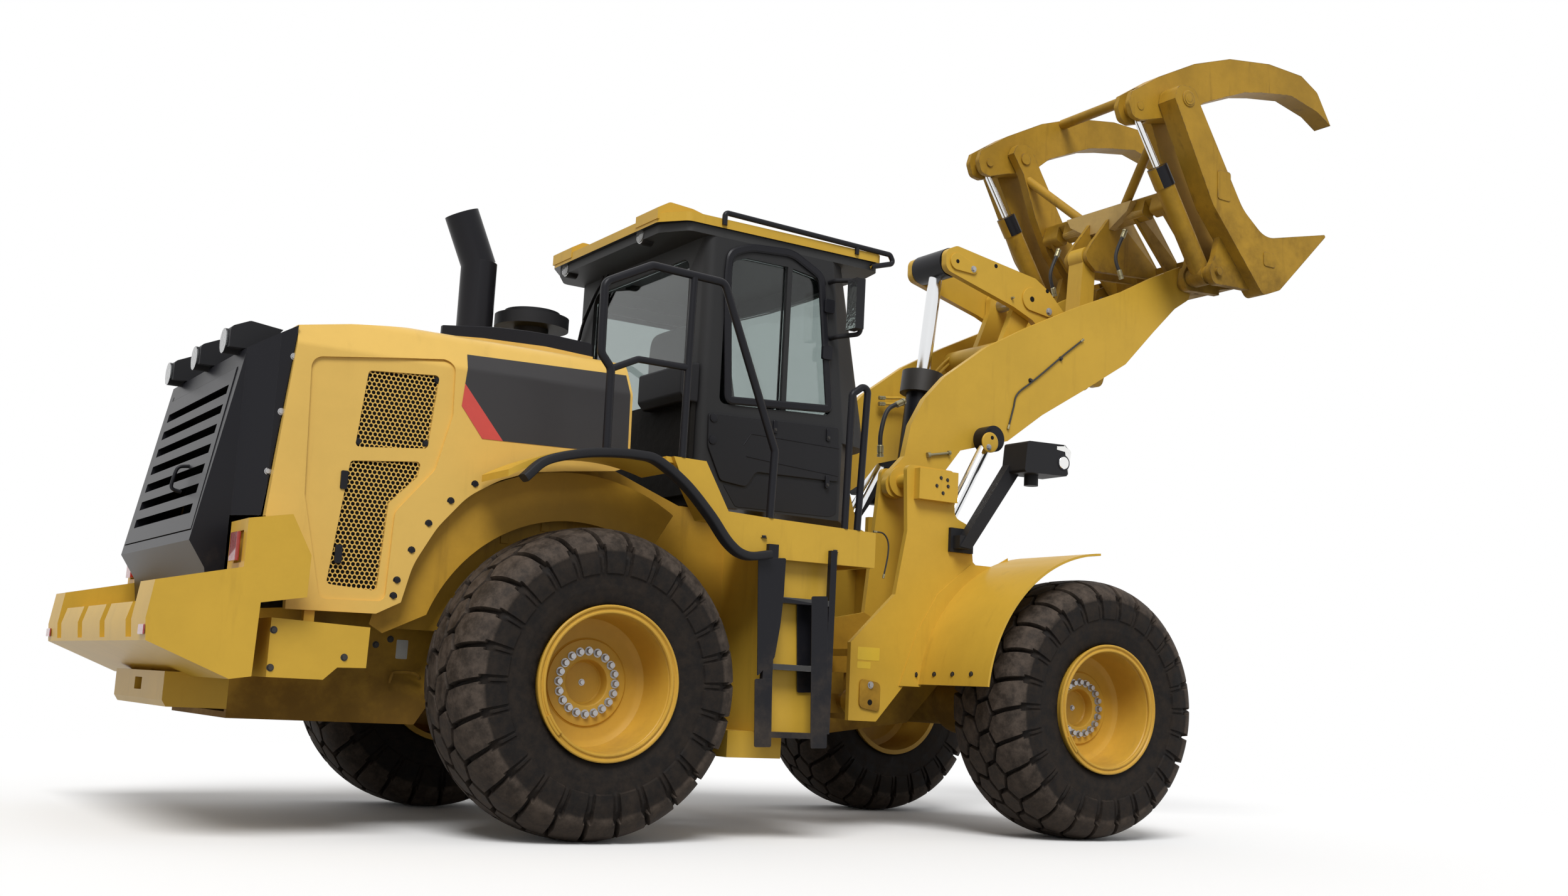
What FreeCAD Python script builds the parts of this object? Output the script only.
import FreeCAD, Part
import math
import os

# Wheel loader with a logging fork and top clamp.  Millimetres, +X forward, +Y left, +Z up,
# ground at z = 0.  Everything is drawn about the steering pivot (x = 0, y = 0); write_nodes
# then moves the whole machine so that its overall length is centred on the origin.

V = FreeCAD.Vector

# ---- running gear -------------------------------------------------------------------------
WHEELBASE = 3350.0
TREAD = 2140.0
TYRE_R = 782.0
TYRE_W = 600.0
TYRE_SHOULDER_R = 700.0
TYRE_BEAD_R = 372.0
BEAD_GAP = 0.2
LUG_COUNT = 15
LUG_H = 40.0
LUG_L = 105.0
LUG_SKEW = 30.0
RIM_FLANGE_R = 385.0
RIM_WALL = 18.0
RIM_OUT_Y = 1377.0
RIM_IN_Y = 763.0
DISC_Y = 1106.0
DISC_T = 30.0
HUB_R = 215.0
HUB_CAP_R = 95.0
HUB_DEPTH = 230.0
CAP_SET = 50.0
CAP_T = 40.0
STUB_R = 60.0
STUB_END = 10.0
AXLE_R = 150.0
AXLE_BOX = 420.0
AXLE_SEAT_GAP = 8.0
AXLE_SEAT_T = 50.0
RUN_GAP = 6.0
AXLE_Z = TYRE_R
REAR_X = -WHEELBASE / 2
FRONT_X = WHEELBASE / 2

# ---- steering pivot -----------------------------------------------------------------------
HITCH_PIN_R = 55.0
PIN_CLEAR = 0.05
HITCH_EAR_R = 150.0
HITCH_T = 60.0
HITCH_GAP = 6.0
HITCH_LOW_Z = 600.0
HITCH_TOP_Z = 1130.0
STEER_REAR = (-760.0, 330.0)
STEER_FRONT = (250.0, 300.0)
STEER_Z = 860.0
STEER_BARREL_R = 55.0
STEER_ROD_R = 28.0

# ---- rear frame and counterweight ---------------------------------------------------------
RAIL_Y = 560.0
RAIL_T = 40.0
FRAME_REAR_X = -3300.0
FRAME_LOW_Z = 527.0
ENGINE_LOW_Z = 1050.0
ENGINE_TOP_Z = 2050.0
CW_Y = 1250.0
CW_INNER_Y = 956.0
CW_DECK_Z = 1070.0
CW_POCKET_W = 120.0
TOW_PIN_R = 26.0
HITCH_JAW_X = -3520.0
HITCH_JAW_GAP = 60.0
HITCH_BLOCK_Z = 570.0

# ---- hood ---------------------------------------------------------------------------------
HOOD_WALL = 45.0
ARCH_BEND = 400.0
HOOD_Y = 940.0
HOOD_FRONT_X = -1410.0
HOOD_REAR_X = -3215.0
HOOD_TOP_Z = 2600.0
PANEL_IN = 14.0
VENT_SET = 8.0
VENT_T = 4.0
COVER_FRONT_X = -1500.0
COVER_REAR_X = -2490.0
COVER_Y = 560.0
COVER_T = 30.0
EXHAUST_X = -1990.0
CLEANER_X = -1640.0
STACK_FOOT_Z = 2600.0
SEAM = 6.0

# ---- cab ----------------------------------------------------------------------------------
CAB_REAR_X = -955.0
CAB_Y = 830.0
CAB_WALL = 60.0
CAB_FLOOR_Z = 1790.0
CAB_SILL_Z = 2330.0
WINDOW_BAR_X = -400.0
CAB_TOP_Z = 3330.0
ROOF_LIP = 50.0
ROOF_CAP_H = 53.0
ROOF_CROWN_H = 42.0
ROOF_TOP_Z = CAB_TOP_Z + ROOF_LIP + ROOF_CAP_H + ROOF_CROWN_H
ROOF_Y = 850.0
GLASS_T = 8.0
GLASS_GAP = 0.3
SOFT_GAP = 0.3
DOOR_HINGE_X = -872.0
DOOR_FRONT_X = -150.0
CAB_FLOOR_T = 50.0
CAB_CORNER_X = 20.0
CAB_BOW_X = 335.0
CAB_LEAN_SIDE = 0.12
CAB_LEAN_FRONT = 0.21
CAB_LEDGE_Z = 2250.0
CAB_FOOT_X = 190.0
CAB_FOOT_Y = 640.0
GLASS_SET = 24.0
HINGE_IN = 8.0
HINGE_PIN_R = 5.0
HINGE_PIN_L = 30.0

# ---- loader linkage: arm pin, fork pin and lever pins, each as (x, z) ----------------------
PIN_A = (715.0, 2130.0)
PIN_B = (3200.0, 3870.0)
PIN_P = (1980.0, 3585.0)
PIN_T = (1316.0, 3731.0)
PIN_L = (2600.0, 3130.0)
PIN_F = (2655.0, 4040.0)
PIN_C = (1110.0, 1925.0)
PIN_U = (1345.0, 2470.0)
PIN_D = (400.0, 755.0)
PIN_K = (2638.0, 4967.0)
PIN_M = (2346.0, 4892.0)
PIN_N = (3040.0, 3832.0)

ARM_Y = 430.0
ARM_T = 50.0
TOWER_IN_Y = 365.0
TOWER_IN_T = 35.0
TOWER_OUT_Y = 668.0
TOWER_OUT_T = 35.0
LIFT_Y = 575.0
LIFT_BARREL_R = 78.0
LIFT_GLAND = 8.0
LIFT_ROD_R = 40.0
TILT_BARREL_R = 95.0
TILT_GLAND = 45.0
TILT_EAR_Y = 102.0
TILT_ROD_R = 48.0
LEVER_Y = 165.0
LEVER_T = 50.0
LINK_T = 150.0
LINK_EAR_T = 35.0
MAIN_PIN_R = 45.0
TUBE_WALL = 14.0
PISTON_L = 60.0
SLIDE_GAP = 0.3
SIDE_GAP = 8.0

# ---- logging fork -------------------------------------------------------------------------
NOSE_SWEEP_R = 205.0
CLAMP_TUBE = (3086.0, 5375.0)
CLAMP_TUBE_R = 40.0
TINE_IN_Y = 884.0
TINE_OUT_Y = 1042.0
POST_IN_Y = 650.0
POST_T = 70.0
CLAMP_IN_Y = 729.0
CLAMP_W = 150.0
CLAMP_SLOT = 72.0
CLAMP_PIN_R = 45.0
CLAMP_BARREL_R = 68.0
CLAMP_ROD_R = 24.0
CLAMP_GLAND = 5.0
CYL_LUG_T = 50.0
CYL_PIN_R = 30.0
LUG_GAP = 6.0


# ---- drawing helpers ----------------------------------------------------------------------
def corner_arc(before, corner, after, radius):
    """Tangent points and middle point of the arc that rounds one corner."""
    a = before.sub(corner).normalize()
    b = after.sub(corner).normalize()
    half = a.getAngle(b) / 2
    back = radius / math.tan(half)
    middle = a.add(b).normalize().multiply(radius / math.sin(half) - radius)
    start = corner.add(V(a).multiply(back))
    end = corner.add(V(b).multiply(back))
    return start, corner.add(middle), end


def outline(points, place):
    """Closed face through the points; a third number on a point rounds that corner."""
    corners = [place(p[0], p[1]) for p in points]
    count = len(points)
    edges = []
    stations = []
    for i, point in enumerate(points):
        corner = corners[i]
        if len(point) > 2:
            arc = corner_arc(corners[i - 1], corner, corners[(i + 1) % count], point[2])
            stations.append(arc)
        else:
            stations.append((corner, None, corner))
    for i, (start, middle, end) in enumerate(stations):
        if middle is not None:
            edges.append(Part.Arc(start, middle, end).toShape())
        following = stations[(i + 1) % count][0]
        if end.distanceToPoint(following) > 0.001:
            edges.append(Part.LineSegment(end, following).toShape())
    return Part.Face(Part.Wire(edges))


def plate(points, y_low, y_high):
    """Outline in X and Z, from y_low to y_high."""
    return outline(points, lambda a, b: V(a, y_low, b)).extrude(V(0, y_high - y_low, 0))


def slab(points, z_low, z_high):
    """Outline in X and Y, from z_low to z_high."""
    return outline(points, lambda a, b: V(a, b, z_low)).extrude(V(0, 0, z_high - z_low))


def bulkhead(points, x_low, x_high):
    """Outline in Y and Z, from x_low to x_high."""
    return outline(points, lambda a, b: V(x_low, a, b)).extrude(V(x_high - x_low, 0, 0))


def block(x_low, x_high, y_low, y_high, z_low, z_high):
    return Part.makeBox(x_high - x_low, y_high - y_low, z_high - z_low, V(x_low, y_low, z_low))


def cross_bar(pin, radius, y_low, y_high):
    """Round bar along Y through a pin centre."""
    return Part.makeCylinder(radius, y_high - y_low, V(pin[0], y_low, pin[1]), V(0, 1, 0))


def post(x, y, radius, z_low, z_high):
    return Part.makeCylinder(radius, z_high - z_low, V(x, y, z_low), V(0, 0, 1))


def rod(start, end, radius):
    along = end.sub(start)
    return Part.makeCylinder(radius, along.Length, start, along)


def tube_path(points, radius, bend):
    """Round bar along straight runs joined by tangent bends."""
    edges = []
    last = points[0]
    for i in range(1, len(points) - 1):
        start, middle, end = corner_arc(points[i - 1], points[i], points[i + 1], bend)
        edges.append(Part.LineSegment(last, start).toShape())
        edges.append(Part.Arc(start, middle, end).toShape())
        last = end
    edges.append(Part.LineSegment(last, points[-1]).toShape())
    spine = Part.Wire(edges)
    ring = Part.Wire(Part.makeCircle(radius, points[0], points[1].sub(points[0])))
    return spine.makePipeShell([ring], True, False, 2)


def mirrored(shape):
    return shape.mirror(V(0, 0, 0), V(0, 1, 0))


def pair(shape):
    return [shape, mirrored(shape)]


def join(*shapes):
    result = shapes[0]
    for shape in shapes[1:]:
        result = result.fuse(shape)
    return result.removeSplitter()


def cut(shape, *tools):
    for tool in tools:
        shape = shape.cut(tool)
    return shape


def toward(start, end, distance):
    """Point (x, z) that lies a distance along the line from start to end."""
    length = math.hypot(end[0] - start[0], end[1] - start[1])
    share = distance / length
    return start[0] + share * (end[0] - start[0]), start[1] + share * (end[1] - start[1])


def at(pin, y):
    return V(pin[0], y, pin[1])


# ---- wheels -------------------------------------------------------------------------------
def spin(profile, x):
    """Solid of revolution about a wheel's axle; profile points are (y, radius)."""
    points = [V(x, y, AXLE_Z + r) for y, r in profile]
    face = Part.Face(Part.makePolygon(points + [points[0]]))
    return face.revolve(V(x, 0, AXLE_Z), V(0, 1, 0), 360)


def faceted(profile, x, sides):
    """Solid with flat sides round a wheel's axle; profile points are (y, radius)."""
    rings = []
    for step in range(sides):
        angle = 360.0 * (step + 0.5) / sides
        ring = Part.makePolygon([V(x, y, AXLE_Z + r) for y, r in profile + profile[:1]])
        ring.rotate(V(x, 0, AXLE_Z), V(0, 1, 0), angle)
        rings.append(ring)
    shell = []
    for step in range(sides):
        low = [v.Point for v in rings[step].OrderedVertexes]
        high = [v.Point for v in rings[(step + 1) % sides].OrderedVertexes]
        for i in range(len(low)):
            k = (i + 1) % len(low)
            corners = [low[i], low[k], high[k], high[i], low[i]]
            shell.append(Part.Face(Part.makePolygon(corners)))
    return Part.makeSolid(Part.makeShell(shell))


def lug(x, sign, turn):
    """One tread block, from the middle of the tread over its shoulder."""
    mid = TREAD / 2
    half = TYRE_W / 2
    foot = TYRE_R - 2 * LUG_H
    points = [(20, foot), (20, TYRE_R), (half - 60, TYRE_R), (half - 4, TYRE_SHOULDER_R),
              (half - 14, TYRE_SHOULDER_R - 60), (half - 70, foot)]
    face = Part.Face(Part.makePolygon(
        [V(x - LUG_L / 2, mid + sign * (y - LUG_SKEW / 2), AXLE_Z + r) for y, r in points + points[:1]]))
    block_shape = face.extrude(V(LUG_L, sign * LUG_SKEW, 0))
    block_shape.rotate(V(x, 0, AXLE_Z), V(0, 1, 0), turn)
    return block_shape


def tyre(x):
    mid = TREAD / 2
    half = TYRE_W / 2
    bead = half - 25
    crown = TYRE_R - LUG_H
    seat = TYRE_BEAD_R / math.cos(math.pi / (2 * LUG_COUNT)) + BEAD_GAP
    profile = [
        (mid - bead, seat), (mid - half, 560), (mid - half + 12, TYRE_SHOULDER_R - 20),
        (mid - half + 80, crown), (mid + half - 80, crown),
        (mid + half - 12, TYRE_SHOULDER_R - 20), (mid + half, 560), (mid + bead, seat)]
    carcass = faceted(profile, x, 2 * LUG_COUNT)
    lugs = []
    for count in range(LUG_COUNT):
        lugs.append(lug(x, 1, 360.0 * count / LUG_COUNT))
        lugs.append(lug(x, -1, 360.0 * (count + 0.5) / LUG_COUNT))
    return join(carcass, *lugs)


def rim(x):
    inner = TYRE_BEAD_R - RIM_WALL
    barrel = [
        (RIM_IN_Y, inner), (RIM_IN_Y, TYRE_BEAD_R), (RIM_OUT_Y, TYRE_BEAD_R), (RIM_OUT_Y, inner)]
    disc = [
        (DISC_Y - DISC_T, HUB_R + 4), (DISC_Y - DISC_T, inner + 5), (DISC_Y, inner + 5),
        (DISC_Y, HUB_R + 4)]
    flange = [
        (RIM_OUT_Y - 12, TYRE_BEAD_R - 5), (RIM_OUT_Y - 12, RIM_FLANGE_R),
        (RIM_OUT_Y + 8, RIM_FLANGE_R), (RIM_OUT_Y + 8, inner), (RIM_OUT_Y - 12, inner)]
    back = DISC_Y - HUB_DEPTH
    cap = DISC_Y - CAP_SET
    hub = [
        (back, STUB_R), (back, HUB_R - 20), (DISC_Y, HUB_R + 8), (DISC_Y + 6, HUB_R),
        (DISC_Y + 6, HUB_CAP_R), (cap, HUB_CAP_R - 20), (cap, 0), (cap - CAP_T, 0),
        (cap - CAP_T, STUB_R)]
    return join(spin(barrel, x), spin(disc, x), spin(flange, x), spin(hub, x))


def axle(x):
    """Axle housing: round beam with a deep centre case, and a stub inside each hub."""
    beam_end = DISC_Y - HUB_DEPTH - RUN_GAP
    stub_end = DISC_Y - CAP_SET - CAP_T - STUB_END
    beam = cross_bar((x, AXLE_Z), AXLE_R, -beam_end, beam_end)
    case = Part.makeSphere(AXLE_BOX / 2, V(x, 0, AXLE_Z))
    stub = cross_bar((x, AXLE_Z), STUB_R - PIN_CLEAR, -stub_end, stub_end)
    return join(beam, case, stub)


# ---- rear machine -------------------------------------------------------------------------
def rear_frame():
    rail = plate([
        (FRAME_REAR_X, FRAME_LOW_Z), (-2360, FRAME_LOW_Z), (-2080, 960), (-1260, 960),
        (-1060, 560), (-330, 560), (-330, 1240), (-700, 1300), (FRAME_REAR_X, 1050)],
        RAIL_Y - RAIL_T, RAIL_Y)
    floor_rear = block(FRAME_REAR_X, -2400, -(RAIL_Y - RAIL_T), RAIL_Y - RAIL_T,
                       FRAME_LOW_Z, FRAME_LOW_Z + 30)
    cross_rear = block(-2110, -2080, -(RAIL_Y - RAIL_T), RAIL_Y - RAIL_T, 960, ENGINE_LOW_Z)
    cross_mid = block(-1290, -1260, -(RAIL_Y - RAIL_T), RAIL_Y - RAIL_T, 960, 1200)
    cross_front = block(-370, -330, -(RAIL_Y - RAIL_T), RAIL_Y - RAIL_T, 560, 1240)
    window = block(-400, -300, -475, 475, STEER_Z - 110, STEER_Z + 110)
    seat_z = AXLE_Z + AXLE_BOX / 2 + AXLE_SEAT_GAP
    axle_seat = block(REAR_X - 130, REAR_X + 130, -(RAIL_Y - RAIL_T), RAIL_Y - RAIL_T,
                      seat_z, seat_z + AXLE_SEAT_T)
    keel = block(REAR_X - 100, REAR_X + 100, -100, 100, AXLE_Z + AXLE_R, seat_z)
    ears = []
    for z in (HITCH_LOW_Z, HITCH_TOP_Z):
        for low in (z - HITCH_T - HITCH_GAP, z + HITCH_T + HITCH_GAP):
            ears.append(hitch_ear(-340, low, low + HITCH_T / 1.5))
    steer_lugs = []
    for z in (STEER_Z - 90, STEER_Z + 60):
        lug = slab([
            (STEER_REAR[0] - 60, STEER_REAR[1] - 60, 50), (STEER_REAR[0] + 60, STEER_REAR[1] - 60, 50),
            (STEER_REAR[0] + 60, RAIL_Y - RAIL_T), (STEER_REAR[0] - 60, RAIL_Y - RAIL_T)], z, z + 30)
        steer_lugs += pair(lug)
    stands = []
    for x in (-870, -420):
        stands += pair(block(x, x + 90, RAIL_Y - RAIL_T - 40, RAIL_Y, 1200, CAB_FLOOR_Z))
    frame = join(*pair(rail), floor_rear, cross_rear, cross_mid, cut(cross_front, window),
                 axle_seat, keel, *ears, *steer_lugs, *stands)
    return frame


def hitch_ear(x_root, z_low, z_high):
    """Horizontal ear with a bored round end on the steering axis."""
    width = HITCH_EAR_R
    ear = join(block(min(x_root, 0), max(x_root, 0), -width, width, z_low, z_high),
               post(0, 0, HITCH_EAR_R, z_low, z_high))
    return cut(ear, post(0, 0, HITCH_PIN_R + PIN_CLEAR, z_low, z_high))


def hitch_pins():
    pins = []
    for z in (HITCH_LOW_Z, HITCH_TOP_Z):
        low = z - HITCH_T - HITCH_GAP - 12
        high = z + HITCH_T + HITCH_GAP + HITCH_T / 1.5 + 12
        pins.append(post(0, 0, HITCH_PIN_R, low, high))
    return Part.makeCompound(pins)


def counterweight():
    side = plate([
        (-3830, 1127), (-3461, 1212), (-3461, 1431), (-3265, 1468), (-3165, 1289), (-3167, 1098),
        (-3372, 1060), (-3381, 732), (-3478, 716), (-3844, 864), (-3853, 958)],
        CW_INNER_Y, CW_Y)
    middle = plate([
        (-3830, 1040), (-3640, CW_DECK_Z), (-3372, CW_DECK_Z), (-3372, 732), (-3478, 716), (-3844, 864),
        (-3853, 958)], -CW_INNER_Y, CW_INNER_Y)
    lower = plate([
        (-3600, 735), (FRAME_REAR_X, 735), (FRAME_REAR_X, HITCH_BLOCK_Z), (-3580, HITCH_BLOCK_Z),
        (-3600, 600)], -RAIL_Y, RAIL_Y)
    weight = join(*pair(side), middle, lower)
    pockets = []
    for low, high in ((CW_INNER_Y - CW_POCKET_W, CW_INNER_Y), (230, 230 + CW_POCKET_W)):
        pockets += pair(block(-3900, -3740, low, high, 880, CW_DECK_Z + 20))
    lamp_wells = pair(block(-3500, -3440, 1060, 1190, 1235, 1380))
    jaw = block(HITCH_JAW_X - 90, HITCH_JAW_X + 60, -80, 80, 640, 640 + HITCH_JAW_GAP)
    return cut(weight, jaw, post(HITCH_JAW_X, 0, TOW_PIN_R, 0, 900), *pockets, *lamp_wells)


def hood_sections(inset):
    """Side outline and cross-section of the hood, both moved in by a wall thickness."""
    arch = [(-1979, 1838), (-2147, 1776), (-2309, 1678), (-2459, 1505), (-2571, 1309)]
    side = plate([
        (HOOD_REAR_X, 2424 - inset), (-2944, 2478 - inset), (-2491, 2540 - inset),
        (-2148, 2566 - inset), (-1788, 2577 - inset), (HOOD_FRONT_X, 2553 - inset),
        (HOOD_FRONT_X, 1935), (-1496, 1901), (-1786, 1867)]
        + [(x, z, ARCH_BEND) for x, z in arch]
        + [(-2619, 1121), (-2739, 1058), (-3176, 1051), (-3180, 1290),
           (HOOD_REAR_X - 90, 1480)], -1100, 1100)
    y = HOOD_Y - inset
    section = bulkhead([
        (-y - 10, 1000), (-y + 40, 2330, 60), (-y + 150, HOOD_TOP_Z - 80 - inset, 120),
        (0, HOOD_TOP_Z - 20 - inset), (y - 150, HOOD_TOP_Z - 80 - inset, 120),
        (y - 40, 2330, 60), (y + 10, 1000)], HOOD_REAR_X - 200, HOOD_FRONT_X + 50)
    return side, section


def hood_vents(grow):
    """The two vent openings of one hood side."""
    upper = plate([
        (-2861 - grow, 2245 + grow, 20), (-2496 + grow, 2274 + grow, 20),
        (-2533 + grow, 1895 - grow, 20), (-2901 - grow, 1858 - grow, 20)], 700, 1100)
    lower = plate([
        (-2917 - grow, 1788 + grow, 20), (-2560 + grow, 1825 + grow, 20),
        (-2575 + grow, 1745), (-2712 + grow, 1600), (-2740 + grow, 1168 - grow, 20),
        (-2989 - grow, 1184 - grow, 20)], 700, 1100)
    return [upper, lower]


def side_recess():
    """Shallow panel pressed into one hood side."""
    panel = plate([
        (-3150, 2270, 60), (-2420, 2370, 60), (-2416, 2079, 60), (-2490, 1790, 80),
        (-2680, 1560, 80), (-2700, 1120, 40), (-3020, 1110, 40), (-3130, 1600)], 700, 1100)
    return cut(panel, hood_sections(PANEL_IN)[1])


def vent_plates():
    sheet = cut(hood_sections(PANEL_IN + VENT_SET)[1], hood_sections(PANEL_IN + VENT_SET + VENT_T)[1])
    upper, lower = hood_vents(-GLASS_GAP)
    return Part.makeCompound([sheet.common(upper), sheet.common(lower)])


def engine_hood():
    side, section = hood_sections(0)
    inner_side, inner_section = hood_sections(HOOD_WALL)
    shell = side.common(section)
    hollow = inner_section.common(block(HOOD_REAR_X - 300, HOOD_FRONT_X + 60, -1100, 1100,
                                        900, 2424 - HOOD_WALL))
    notch = block(COVER_REAR_X - SEAM, HOOD_FRONT_X + 60, -COVER_Y - SEAM, COVER_Y + SEAM,
                  2300, 2800)
    vents = []
    for side_cut in hood_vents(0) + [side_recess()]:
        vents += pair(side_cut)
    return cut(shell, hollow, notch, *vents)


def top_cover():
    cover = plate([
        (COVER_REAR_X, 2548), (-2148, 2576), (-1788, 2588), (COVER_FRONT_X, 2575),
        (COVER_FRONT_X, 2575 - COVER_T), (-1788, 2588 - COVER_T), (-2148, 2576 - COVER_T),
        (COVER_REAR_X, 2548 - COVER_T)], -COVER_Y, COVER_Y)
    pads = [post(EXHAUST_X, 0, 165, 2560, STACK_FOOT_Z), post(CLEANER_X, 0, 120, 2560, STACK_FOOT_Z)]
    legs = [post(x, y, 25, ENGINE_TOP_Z, 2560) for x in (-2400, -1580) for y in (-280, 280)]
    return join(cover, *pads, *legs)


def surround_body(inset):
    """Black rear cowl: side outline crossed with a plan outline that chamfers its corners."""
    side = plate([
        (HOOD_REAR_X - SEAM, 2414 - inset), (-3424 + inset, 2290 - inset), (-3602 + inset, 1345),
        (-3521, 1222), (-3500, CW_DECK_Z), (-3430, CW_DECK_Z), (-3430, 1478),
        (HOOD_REAR_X - 90 - SEAM, 1484)], -1000, 1000)
    y = HOOD_Y - 55 - inset
    plan = slab([
        (HOOD_REAR_X + 60, -y), (-3300, -y), (-3424 + inset, -y + 110), (-3700, -y + 110),
        (-3700, y - 110), (-3424 + inset, y - 110), (-3300, y), (HOOD_REAR_X + 60, y)], 1000, 2500)
    return side.common(plan)


GRILLE_TOP = (-3446.0, 2200.0)
GRILLE_FOOT = (-3594.0, 1400.0)
GRILLE_TOP_Y = 690.0
GRILLE_FOOT_Y = 750.0
GRILLE_T = 60.0
LOUVRES = 7
LOUVRE_EDGE = 55.0
POD_Y = 590.0


def grille_slope(depth, margin):
    """Slab parallel to the sloping rear face, cut to the grille's tapered outline."""
    dx = GRILLE_FOOT[0] - GRILLE_TOP[0]
    dz = GRILLE_FOOT[1] - GRILLE_TOP[1]
    length = math.hypot(dx, dz)
    nx, nz = dz / length, -dx / length
    top = (GRILLE_TOP[0] - margin * dx / length, GRILLE_TOP[1] - margin * dz / length)
    foot = (GRILLE_FOOT[0] + margin * dx / length, GRILLE_FOOT[1] + margin * dz / length)
    yt = GRILLE_TOP_Y + margin
    yf = GRILLE_FOOT_Y + margin
    corners = [V(top[0], -yt, top[1]), V(foot[0], -yf, foot[1]), V(foot[0], yf, foot[1]),
               V(top[0], yt, top[1])]
    face = Part.Face(Part.makePolygon(corners + [corners[0]]))
    return face.extrude(V(-nx * depth, 0, -nz * depth)), V(nx, 0, nz)


def grille_pins(radius):
    """Pivot pins at the head and foot of the grille's left edge, along that edge."""
    head = V(GRILLE_TOP[0], GRILLE_TOP_Y, GRILLE_TOP[1])
    foot = V(GRILLE_FOOT[0], GRILLE_FOOT_Y, GRILLE_FOOT[1])
    along = foot.sub(head).normalize()
    _, normal = grille_slope(GRILLE_T, 0)
    across = along.cross(normal).normalize()
    if across.y > 0:
        across = across.multiply(-1)
    axis = V(across).multiply(HINGE_IN).sub(V(normal).multiply(HINGE_IN))
    pins = []
    for end in (head, foot):
        centre = end.add(axis)
        pins.append(rod(centre.sub(V(along).multiply(HINGE_PIN_L)),
                        centre.add(V(along).multiply(HINGE_PIN_L)), radius))
    return pins


def rear_surround():
    shell = cut(surround_body(0), surround_body(HOOD_WALL).common(
        block(-3700, HOOD_REAR_X + 100, -1000, 1000, 1222 + HOOD_WALL, 2500)))
    hole, normal = grille_slope(-260, SEAM)
    hole.translate(V(normal).multiply(-100))
    return join(cut(shell, hole), *grille_pins(HINGE_PIN_R))


def grille_door():
    """Sloping door with a row of open slots between tilted louvres."""
    leaf, _ = grille_slope(GRILLE_T, 0)
    slots = []
    pitch = (GRILLE_TOP[1] - GRILLE_FOOT[1] - 2 * LOUVRE_EDGE) / LOUVRES
    for count in range(LOUVRES):
        low = GRILLE_FOOT[1] + LOUVRE_EDGE + count * pitch
        foot = GRILLE_FOOT[0] + (low - GRILLE_FOOT[1]) * (GRILLE_TOP[0] - GRILLE_FOOT[0]) / (
            GRILLE_TOP[1] - GRILLE_FOOT[1])
        slots.append(plate([
            (foot - 30, low + 12), (foot - 30, low + pitch * 0.55), (foot + 120, low + pitch * 0.55 + 70),
            (foot + 120, low + 80)], -GRILLE_TOP_Y + LOUVRE_EDGE, GRILLE_TOP_Y - LOUVRE_EDGE))
    return cut(leaf, *slots, *grille_pins(HINGE_PIN_R + PIN_CLEAR))


def rear_lamps():
    """Three wedge pods on the cowl's rear slope, each with a round work lamp."""
    pods = []
    for y in (-POD_Y, 0, POD_Y):
        pod = plate([(-3490, 2300), (-3490, 2400, 30), (-3400, 2440, 30), (-3240, 2420), (-3330, 2300)],
                    y - 95, y + 95)
        lamp = rod(V(-3500, y, 2340), V(-3420, y, 2340), 62)
        pods.append(cut(join(pod, lamp), surround_body(0)))
    return Part.makeCompound(pods)


def engine_block():
    return block(-2950, -1500, -330, 330, ENGINE_LOW_Z, ENGINE_TOP_Z)


def exhaust_stack():
    bore = 78
    low = STACK_FOOT_Z
    bend = V(EXHAUST_X, 0, 3110)
    stack = join(post(EXHAUST_X, 0, 102, low, 3130), rod(bend, V(EXHAUST_X - 130, 0, 3400), 98))
    flange = post(EXHAUST_X, 0, 150, low, low + 25)
    hollow = join(post(EXHAUST_X, 0, bore, low + 60, 3130),
                  rod(bend, V(EXHAUST_X - 170, 0, 3490), bore))
    return cut(join(stack, flange), hollow)


def precleaner():
    return join(post(CLEANER_X, 0, 100, STACK_FOOT_Z, 2800), post(CLEANER_X, 0, 215, 2800, 2870),
                post(CLEANER_X, 0, 160, 2870, 2900))


# ---- cab ----------------------------------------------------------------------------------
def cab_plan(inset, z):
    """Plan of the upper cab at one height; its bowed front leans back more than its sides."""
    y = CAB_Y - inset
    rear = CAB_REAR_X + inset
    corner = CAB_CORNER_X - inset - CAB_LEAN_SIDE * (z - CAB_SILL_Z)
    bow = CAB_BOW_X - inset - CAB_LEAN_FRONT * (z - CAB_SILL_Z)
    half = [(rear, y, 60), (corner, y, 40), (bow - 100, y - 90, 120), (bow - 35, y - 270, 200),
            (bow, y - 580, 300)]
    points = half + [(p[0], -p[1], p[2]) for p in reversed(half)]
    return outline(points, lambda a, b: V(a, b, z)).OuterWire


def cab_hull(inset, z_low):
    """Upper cab form, moved in by a wall thickness."""
    return Part.makeLoft([cab_plan(inset, z_low), cab_plan(inset, CAB_TOP_Z + inset)], True, True)


def cab_foot(inset, z_low, z_high):
    """Lower cab form: upright, its front corners cut back for the steering."""
    y = CAB_Y - inset
    rear = CAB_REAR_X + inset
    half = [(rear, y, 60), (CAB_CORNER_X - inset, y, 20), (CAB_FOOT_X - inset, CAB_FOOT_Y - inset, 60),
            (CAB_BOW_X - inset, 330 - inset, 200)]
    return slab(half + [(p[0], -p[1], p[2]) for p in reversed(half)], z_low, z_high)


def windscreen_opening(grow):
    y = 690 + grow
    low = CAB_SILL_Z + 10 - grow
    high = CAB_TOP_Z - 90 + grow
    return bulkhead([(-y, low, 60), (y, low, 60), (y, high, 80), (-y, high, 80)], 0, 600)


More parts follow.
